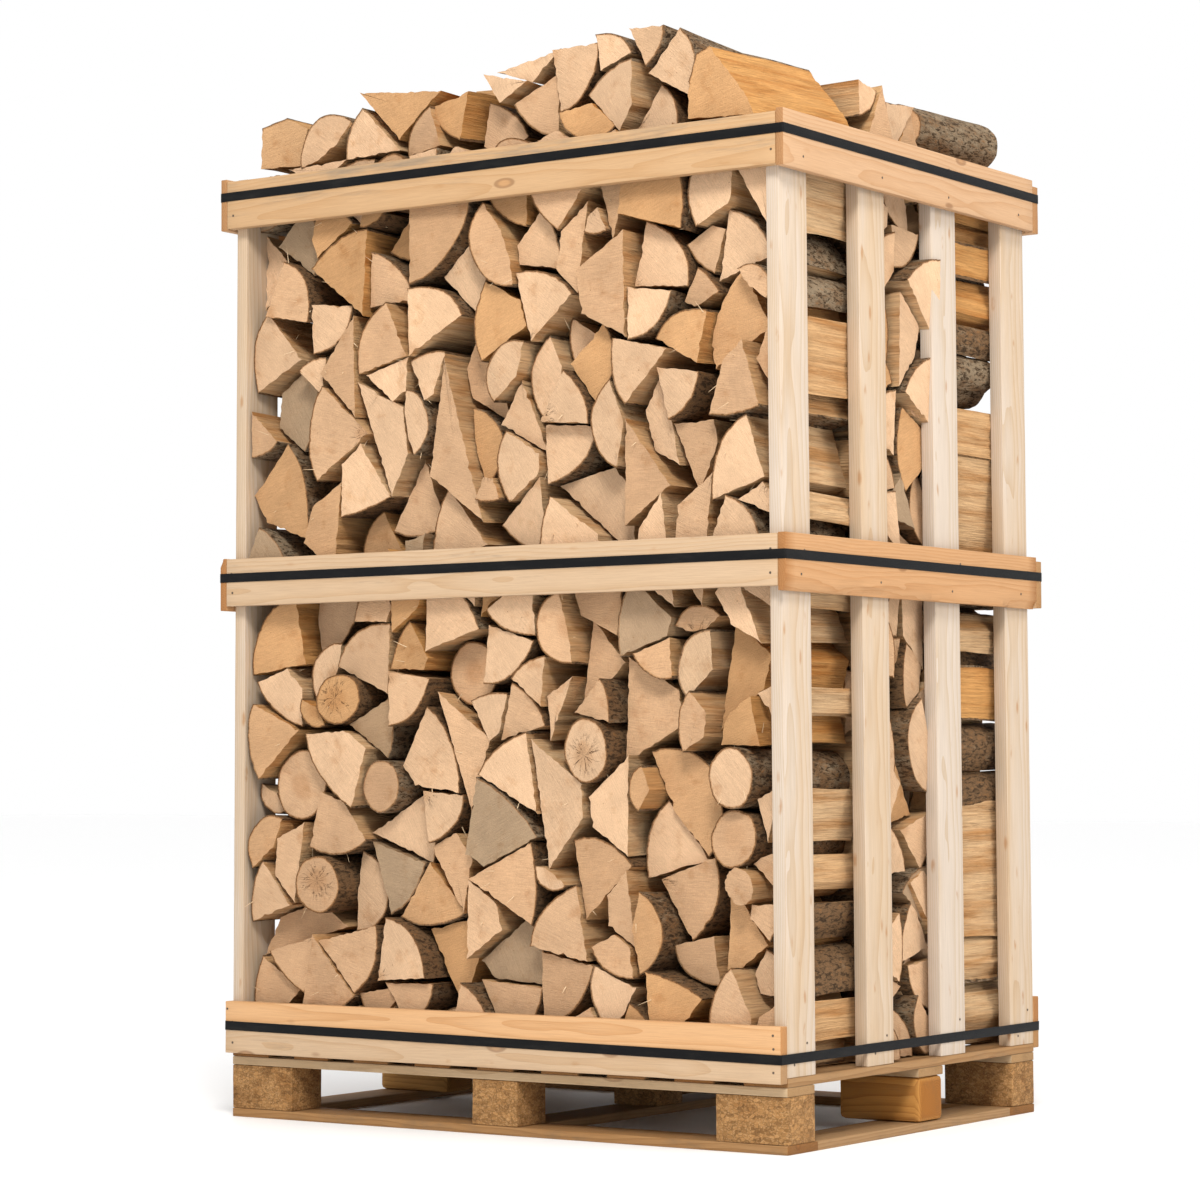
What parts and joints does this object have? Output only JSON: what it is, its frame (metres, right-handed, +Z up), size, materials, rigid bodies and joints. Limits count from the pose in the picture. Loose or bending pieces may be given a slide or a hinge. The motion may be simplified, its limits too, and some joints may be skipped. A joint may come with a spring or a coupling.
{
  "type": "firewood crate",
  "caption": "Tall open-sided wooden crate on a block pallet, strapped around and packed with split hardwood firewood, with loose logs heaped above the top rails.",
  "frame": {"origin": "middle of the footprint on the surface that the pallet stands on", "axes": "+Z up, +X to the right along the wide open front, -Y out of the front"},
  "size_m": [1.2026, 0.8906, 1.88],
  "materials": {
    "slat_spruce": "planed pale spruce with small brown resin flecks",
    "rail_spruce": "sawn spruce, pale to honey coloured, with knots and blue-grey stain",
    "pallet_wood": "rough sawn softwood, weathered",
    "pressed_chip": "pressed wood chip, mottled and porous",
    "block_timber": "solid softwood block with one worn corner",
    "strap_plastic": "black woven-look polypropylene strapping, slight gloss",
    "split_beech": "saw-cut log ends and fibrous split faces, tan to orange",
    "beech_bark": "grey-brown beech bark with pale lichen patches"
  },
  "bodies": {
    "root": {"block_back_centre": "pressed_chip", "block_back_left": "pressed_chip", "block_back_right": "pressed_chip", "block_front_centre": "pressed_chip", "block_front_left": "pressed_chip", "block_front_right": "pressed_chip", "block_middle_centre": "pressed_chip", "block_middle_left": "block_timber", "block_middle_right": "block_timber", "deck_1": "pallet_wood", "deck_2": "pallet_wood", "deck_3": "pallet_wood", "deck_4": "pallet_wood", "deck_5": "pallet_wood", "deck_6": "pallet_wood", "deck_7": "pallet_wood", "deck_8": "pallet_wood", "deck_9": "pallet_wood", "heap_back": "split_beech", "heap_front": "split_beech", "heap_middle": "split_beech", "log_back_corner": "beech_bark", "log_bark_middle": "beech_bark", "log_left_corner": "split_beech", "log_right_corner": "split_beech", "log_wedge_middle": "split_beech", "logs_back_row": "split_beech", "logs_front_row": "split_beech", "logs_middle_row": "split_beech", "rail_bottom_back": "rail_spruce", "rail_bottom_front": "rail_spruce", "rail_foot_back": "rail_spruce", "rail_foot_front": "rail_spruce", "rail_middle_back": "rail_spruce", "rail_middle_front": "rail_spruce", "rail_middle_left": "rail_spruce", "rail_middle_right": "rail_spruce", "rail_top_back": "rail_spruce", "rail_top_front": "rail_spruce", "rail_top_left": "rail_spruce", "rail_top_right": "rail_spruce", "runner_back": "pallet_wood", "runner_centre": "pallet_wood", "runner_front": "pallet_wood", "runner_left": "pallet_wood", "runner_right": "pallet_wood", "slat_left_1": "slat_spruce", "slat_left_2": "slat_spruce", "slat_left_3": "slat_spruce", "slat_left_4": "slat_spruce", "slat_right_1": "slat_spruce", "slat_right_2": "slat_spruce", "slat_right_3": "slat_spruce", "slat_right_4": "slat_spruce", "strap_bottom": "strap_plastic", "strap_middle": "strap_plastic", "strap_top": "strap_plastic", "stringer_back": "pallet_wood", "stringer_front": "pallet_wood", "stringer_middle": "pallet_wood"}
  },
  "joints": []
}
